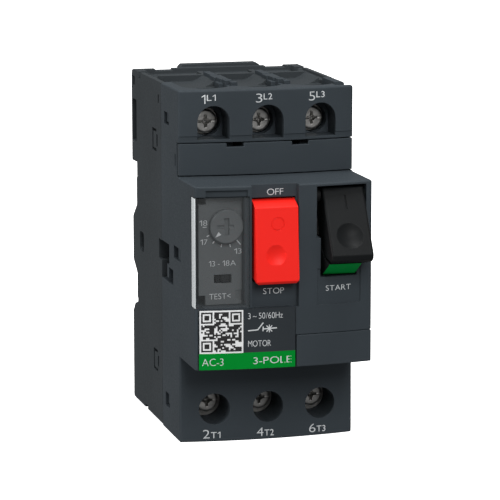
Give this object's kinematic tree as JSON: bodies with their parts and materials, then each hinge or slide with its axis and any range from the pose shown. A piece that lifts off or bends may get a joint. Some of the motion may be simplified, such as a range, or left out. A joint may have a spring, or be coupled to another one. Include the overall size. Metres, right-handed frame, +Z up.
{
  "type": "motor protection breaker",
  "caption": "Three-pole rail-mounted motor protection breaker with START and STOP rockers, setting dial under a clear window, and screw terminals top and bottom.",
  "frame": {"origin": "centre of the flat face that sits on the front of a 35 mm rail", "axes": "+Y back towards the rail and the panel, +Z up, +X to the right seen from the front"},
  "size_m": [0.045, 0.0781, 0.0899],
  "materials": {
    "case_grey": "fine spark-eroded texture",
    "case_front": "fine spark-eroded texture, slightly bluish grey",
    "inner_plastic": "plain moulded",
    "start_black": "satin moulded",
    "skirt_green": "satin moulded",
    "stop_red": "satin moulded",
    "clear_cover": "clear moulded polycarbonate",
    "scale_plate": "satin moulded",
    "label_film": "printed film",
    "zinc_steel": "zinc plated",
    "spring_steel": "drawn wire",
    "copper": "bare copper",
    "coil_winding": "enamelled copper wire",
    "arc_steel": "dull plate"
  },
  "bodies": {
    "casing": {"rear_base": "case_grey", "front_housing": "case_front", "upper_blank_panel": "case_front", "aux_blank_cover": "case_front", "nameplate": "label_film", "dial_plate": "scale_plate", "mechanism_frame": "zinc_steel", "toggle_pin": "zinc_steel", "start_pin": "zinc_steel", "stop_pin": "zinc_steel", "start_spring": "spring_steel", "stop_spring": "spring_steel", "latch_spring": "spring_steel", "line_bar_1": "copper", "load_bar_1": "copper", "arc_chute_1": "arc_steel", "magnet_coil_1": "coil_winding", "bimetal_strip_1": "zinc_steel", "line_bar_2": "copper", "load_bar_2": "copper", "arc_chute_2": "arc_steel", "magnet_coil_2": "coil_winding", "bimetal_strip_2": "zinc_steel", "line_bar_3": "copper", "load_bar_3": "copper", "arc_chute_3": "arc_steel", "magnet_coil_3": "coil_winding", "bimetal_strip_3": "zinc_steel"},
    "start": {"start_button": "start_black", "start_skirt": "skirt_green"},
    "stop": {"stop_button": "stop_red"},
    "link": {"drive_link": "inner_plastic"},
    "toggle": {"toggle_lever": "inner_plastic"},
    "carrier": {"contact_carrier": "inner_plastic", "moving_contact_1": "copper", "moving_contact_2": "copper", "moving_contact_3": "copper"},
    "dial": {"setting_dial": "scale_plate"},
    "test": {"test_slider": "inner_plastic"},
    "trip": {"trip_bar": "inner_plastic"},
    "window": {"window_cover": "clear_cover"},
    "rail_latch": {"din_latch": "inner_plastic"},
    "clamp_l1": {"terminal_clamp_l1": "zinc_steel"},
    "screw_l1": {"terminal_screw_l1": "zinc_steel"},
    "clamp_l2": {"terminal_clamp_l2": "zinc_steel"},
    "screw_l2": {"terminal_screw_l2": "zinc_steel"},
    "clamp_l3": {"terminal_clamp_l3": "zinc_steel"},
    "screw_l3": {"terminal_screw_l3": "zinc_steel"},
    "clamp_t1": {"terminal_clamp_t1": "zinc_steel"},
    "screw_t1": {"terminal_screw_t1": "zinc_steel"},
    "clamp_t2": {"terminal_clamp_t2": "zinc_steel"},
    "screw_t2": {"terminal_screw_t2": "zinc_steel"},
    "clamp_t3": {"terminal_clamp_t3": "zinc_steel"},
    "screw_t3": {"terminal_screw_t3": "zinc_steel"}
  },
  "joints": [
    {"name": "start_press", "type": "hinge", "parent": "casing", "child": "start", "pos_m": [0, -0.0615, 0.0194], "axis": [1, 0, 0], "range_deg": [0, 15], "stiffness_Nm_per_rad": 0.2, "springref_deg": -20.05},
    {"name": "link_travel", "type": "slide", "parent": "casing", "child": "link", "axis": [0, 1, 0], "range_m": [0, 0.00285]},
    {"name": "toggle_swing", "type": "hinge", "parent": "casing", "child": "toggle", "pos_m": [0, -0.038, -0.009], "axis": [1, 0, 0], "range_deg": [-9.2, 0]},
    {"name": "contact_travel", "type": "slide", "parent": "casing", "child": "carrier", "axis": [0, 1, 0], "range_m": [0, 0.00285]},
    {"name": "stop_press", "type": "hinge", "parent": "casing", "child": "stop", "pos_m": [0, -0.0613, 0.017], "axis": [1, 0, 0], "range_deg": [0, 5], "stiffness_Nm_per_rad": 0.3, "springref_deg": -11.46},
    {"name": "dial_turn", "type": "hinge", "parent": "casing", "child": "dial", "pos_m": [-0.0142, -0.062, 0.0127], "axis": [0, -1, 0], "range_deg": [-42, 85.5]},
    {"name": "test_slide", "type": "slide", "parent": "casing", "child": "test", "axis": [-1, 0, 0], "range_m": [0, 0.0015], "stiffness_N_per_m": 60, "springref_m": -0.001},
    {"name": "trip_turn", "type": "hinge", "parent": "casing", "child": "trip", "pos_m": [0, -0.0248, -0.008], "axis": [1, 0, 0], "range_deg": [-12.2, 0]},
    {"name": "window_swing", "type": "hinge", "parent": "casing", "child": "window", "pos_m": [-0.0219, -0.0611, 0], "axis": [0, 0, 1], "range_deg": [-95, 0]},
    {"name": "latch_pull", "type": "slide", "parent": "casing", "child": "rail_latch", "axis": [0, 0, -1], "range_m": [0, 0.0035], "stiffness_N_per_m": 2500, "springref_m": -0.001, "deforming": ["latch_spring"]},
    {"name": "clamp_l1_travel", "type": "slide", "parent": "casing", "child": "clamp_l1", "axis": [0, 1, 0], "range_m": [0, 0.0021]},
    {"name": "screw_l1_turn", "type": "hinge", "parent": "clamp_l1", "child": "screw_l1", "pos_m": [-0.01375, -0.035, 0.0357], "axis": [0, 1, 0], "range_deg": [0, 1084]},
    {"name": "clamp_l2_travel", "type": "slide", "parent": "casing", "child": "clamp_l2", "axis": [0, 1, 0], "range_m": [0, 0.0021]},
    {"name": "screw_l2_turn", "type": "hinge", "parent": "clamp_l2", "child": "screw_l2", "pos_m": [0, -0.035, 0.0357], "axis": [0, 1, 0], "range_deg": [0, 1084]},
    {"name": "clamp_l3_travel", "type": "slide", "parent": "casing", "child": "clamp_l3", "axis": [0, 1, 0], "range_m": [0, 0.0021]},
    {"name": "screw_l3_turn", "type": "hinge", "parent": "clamp_l3", "child": "screw_l3", "pos_m": [0.01375, -0.035, 0.0357], "axis": [0, 1, 0], "range_deg": [0, 1084]},
    {"name": "clamp_t1_travel", "type": "slide", "parent": "casing", "child": "clamp_t1", "axis": [0, 1, 0], "range_m": [0, 0.0021]},
    {"name": "screw_t1_turn", "type": "hinge", "parent": "clamp_t1", "child": "screw_t1", "pos_m": [-0.01375, -0.035, -0.0357], "axis": [0, 1, 0], "range_deg": [0, 1084]},
    {"name": "clamp_t2_travel", "type": "slide", "parent": "casing", "child": "clamp_t2", "axis": [0, 1, 0], "range_m": [0, 0.0021]},
    {"name": "screw_t2_turn", "type": "hinge", "parent": "clamp_t2", "child": "screw_t2", "pos_m": [0, -0.035, -0.0357], "axis": [0, 1, 0], "range_deg": [0, 1084]},
    {"name": "clamp_t3_travel", "type": "slide", "parent": "casing", "child": "clamp_t3", "axis": [0, 1, 0], "range_m": [0, 0.0021]},
    {"name": "screw_t3_turn", "type": "hinge", "parent": "clamp_t3", "child": "screw_t3", "pos_m": [0.01375, -0.035, -0.0357], "axis": [0, 1, 0], "range_deg": [0, 1084]}
  ],
  "couplings": [
    {"joint": "link_travel", "follows": "start_press", "m_per_rad": 0.010695},
    {"joint": "contact_travel", "follows": "start_press", "m_per_rad": 0.010695},
    {"joint": "toggle_swing", "follows": "start_press", "ratio": -0.6},
    {"joint": "trip_turn", "follows": "test_slide", "rad_per_m": -139.63},
    {"joint": "screw_l1_turn", "follows": "clamp_l1_travel", "rad_per_m": 8976},
    {"joint": "screw_l2_turn", "follows": "clamp_l2_travel", "rad_per_m": 8976},
    {"joint": "screw_l3_turn", "follows": "clamp_l3_travel", "rad_per_m": 8976},
    {"joint": "screw_t1_turn", "follows": "clamp_t1_travel", "rad_per_m": 8976},
    {"joint": "screw_t2_turn", "follows": "clamp_t2_travel", "rad_per_m": 8976},
    {"joint": "screw_t3_turn", "follows": "clamp_t3_travel", "rad_per_m": 8976}
  ]
}
